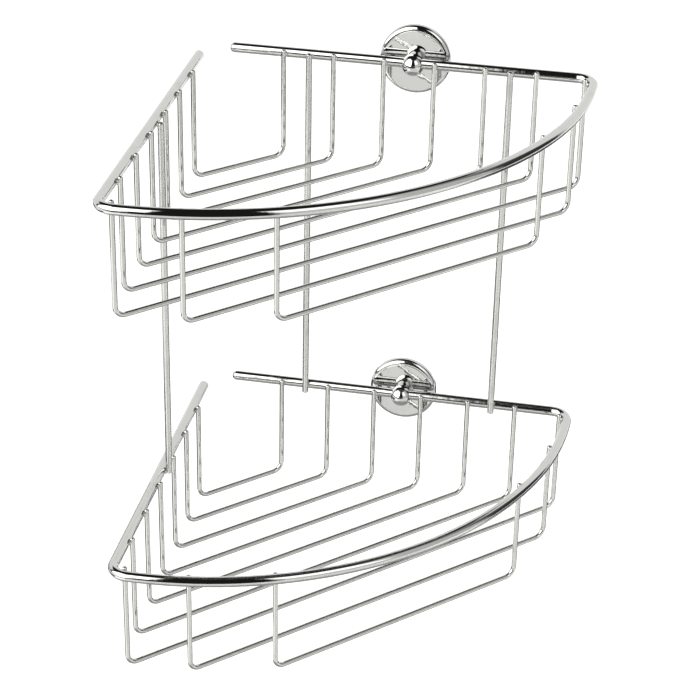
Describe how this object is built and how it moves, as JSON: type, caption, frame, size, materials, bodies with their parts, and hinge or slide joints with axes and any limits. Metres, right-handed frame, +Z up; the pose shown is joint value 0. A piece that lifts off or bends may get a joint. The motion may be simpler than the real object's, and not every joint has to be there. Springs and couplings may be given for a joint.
{
  "type": "corner shower caddy",
  "caption": "Two-tier quarter-round corner shower caddy in polished chrome wire, carried by ball posts on round wall flanges.",
  "frame": {"origin": "centre of the upper wall bracket's screw-hole pattern, on the wall face behind the upper flange", "axes": "+Y into the wall that carries the mounts, +X along that wall away from the room's corner, +Z up; the other wall of the corner is parallel to YZ on the -X side"},
  "size_m": [0.3063, 0.3172, 0.4008],
  "materials": {
    "rim_chrome": "polished",
    "wire_chrome": "polished",
    "rod_chrome": "polished",
    "mount_chrome": "polished",
    "fixing_steel": "satin"
  },
  "bodies": {
    "wall_brackets": {"upper_bracket": "fixing_steel", "lower_bracket": "fixing_steel"},
    "caddy": {"upper_rim": "rim_chrome", "upper_wire_1": "wire_chrome", "upper_wire_2": "wire_chrome", "upper_wire_3": "wire_chrome", "upper_wire_4": "wire_chrome", "upper_wire_5": "wire_chrome", "upper_wire_6": "wire_chrome", "upper_wire_7": "wire_chrome", "upper_wire_8": "wire_chrome", "upper_wire_9": "wire_chrome", "lower_rim": "rim_chrome", "lower_wire_1": "wire_chrome", "lower_wire_2": "wire_chrome", "lower_wire_3": "wire_chrome", "lower_wire_4": "wire_chrome", "lower_wire_5": "wire_chrome", "lower_wire_6": "wire_chrome", "lower_wire_7": "wire_chrome", "lower_wire_8": "wire_chrome", "lower_wire_9": "wire_chrome", "hanger_rod_left": "rod_chrome", "hanger_rod_middle": "rod_chrome", "hanger_rod_right": "rod_chrome", "upper_flange": "mount_chrome", "upper_ball_post": "mount_chrome", "upper_post_nut": "fixing_steel", "lower_flange": "mount_chrome", "lower_ball_post": "mount_chrome", "lower_post_nut": "fixing_steel"},
    "upper_flange_lock": {"upper_flange_screw": "fixing_steel"},
    "lower_flange_lock": {"lower_flange_screw": "fixing_steel"},
    "upper_rail_lock": {"upper_rail_screw": "fixing_steel"},
    "lower_rail_lock": {"lower_rail_screw": "fixing_steel"}
  },
  "joints": [
    {"name": "caddy_pull_off", "type": "slide", "parent": "wall_brackets", "child": "caddy", "axis": [0, -1, 0], "range_m": [0, 0.012]},
    {"name": "upper_flange_screw_turn", "type": "hinge", "parent": "caddy", "child": "upper_flange_lock", "pos_m": [0, -0.0016, -0.024], "axis": [0, 0, 1], "continuous": true},
    {"name": "lower_flange_screw_turn", "type": "hinge", "parent": "caddy", "child": "lower_flange_lock", "pos_m": [0, -0.0016, -0.314], "axis": [0, 0, 1], "continuous": true},
    {"name": "upper_rail_screw_turn", "type": "hinge", "parent": "caddy", "child": "upper_rail_lock", "pos_m": [0, -0.0148, -0.005], "axis": [0, 0, 1], "continuous": true},
    {"name": "lower_rail_screw_turn", "type": "hinge", "parent": "caddy", "child": "lower_rail_lock", "pos_m": [0, -0.0148, -0.295], "axis": [0, 0, 1], "continuous": true}
  ]
}
